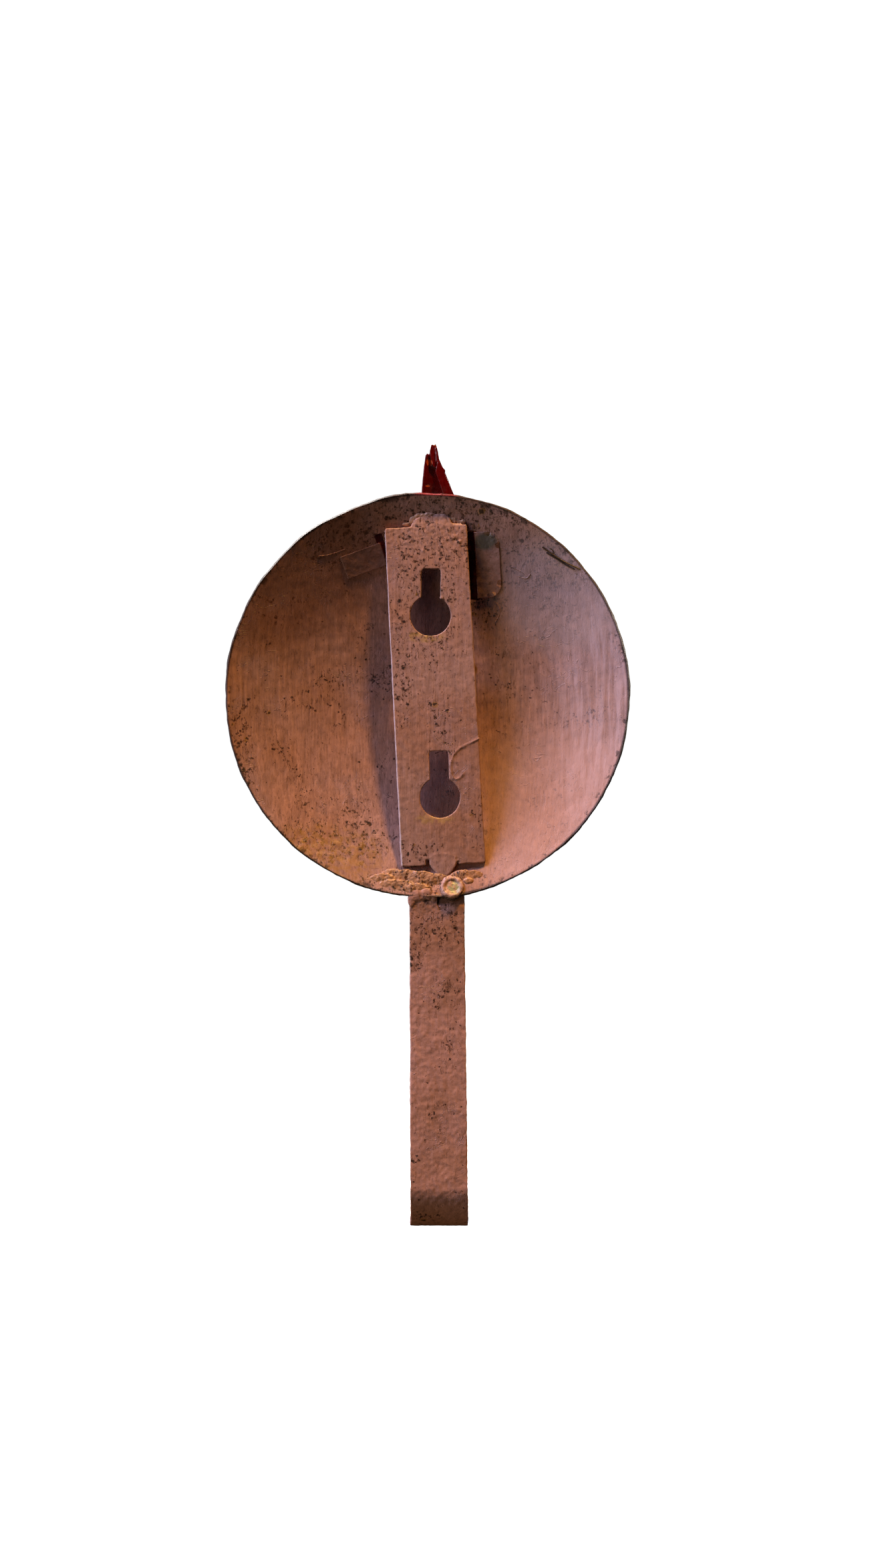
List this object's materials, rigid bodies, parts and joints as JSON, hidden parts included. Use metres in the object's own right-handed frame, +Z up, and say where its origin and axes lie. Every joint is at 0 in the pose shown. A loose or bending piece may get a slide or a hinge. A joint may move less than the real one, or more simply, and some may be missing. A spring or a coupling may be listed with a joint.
{
  "type": "railway semaphore signal",
  "caption": "Wall-hung semaphore signal: dished sighting disc with a keyhole hanger plate, a bent post strap and a red arrow-pointed arm on a friction pivot.",
  "frame": {"origin": "on the hanger plate's wall face, level with the middle of the disc; the disc's rim stands 0.9 mm nearer to the wall", "axes": "+Z up along the post, +Y into the wall, -Y towards the person who looks at the signal, +X to that person's right"},
  "size_m": [0.1, 0.0191, 0.1953],
  "materials": {
    "primer_paint": "dusty rose-brown primer, brushed on thick, with grain and dark specks",
    "hanger_paint": "the same primer on the flat hanger plate",
    "painted_solder": "soft solder under primer, lumpy",
    "post_paint": "thick orange-peel primer, reddish brown",
    "rivet_brass": "dull brass, half covered with primer",
    "stop_paint": "the same primer over folded steel tabs",
    "pin_steel": "plain steel pin",
    "plated_steel": "dull zinc-plated steel",
    "bush_brass": "turned brass",
    "spring_steel": "blued spring steel",
    "signal_red": "glossy deep red enamel with a pale band on the front",
    "hub_red": "the same red enamel on the stiffener",
    "rivet_red": "riveted heads under red enamel"
  },
  "bodies": {
    "signal": {"sighting_disc": "primer_paint", "hanger_plate": "hanger_paint", "hanger_top_solder": "painted_solder", "hanger_bottom_solder": "painted_solder", "post_strap": "post_paint", "post_rivet": "rivet_brass", "post_solder": "painted_solder", "upright_stop": "stop_paint", "level_stop_pin": "pin_steel", "pivot_screw": "plated_steel", "pivot_seat": "plated_steel", "pivot_bush": "bush_brass", "spring_washer": "spring_steel", "front_washer": "plated_steel", "back_washer": "plated_steel", "lock_washer": "spring_steel", "pivot_nut": "plated_steel"},
    "arm": {"arm_blade": "signal_red", "arm_hub_plate": "hub_red", "arm_rivets": "rivet_red"}
  },
  "joints": [
    {"name": "arm_pivot", "type": "hinge", "parent": "signal", "child": "arm", "pos_m": [0, -0.0131, 0], "axis": [0, 1, 0], "range_deg": [0, 90]}
  ]
}
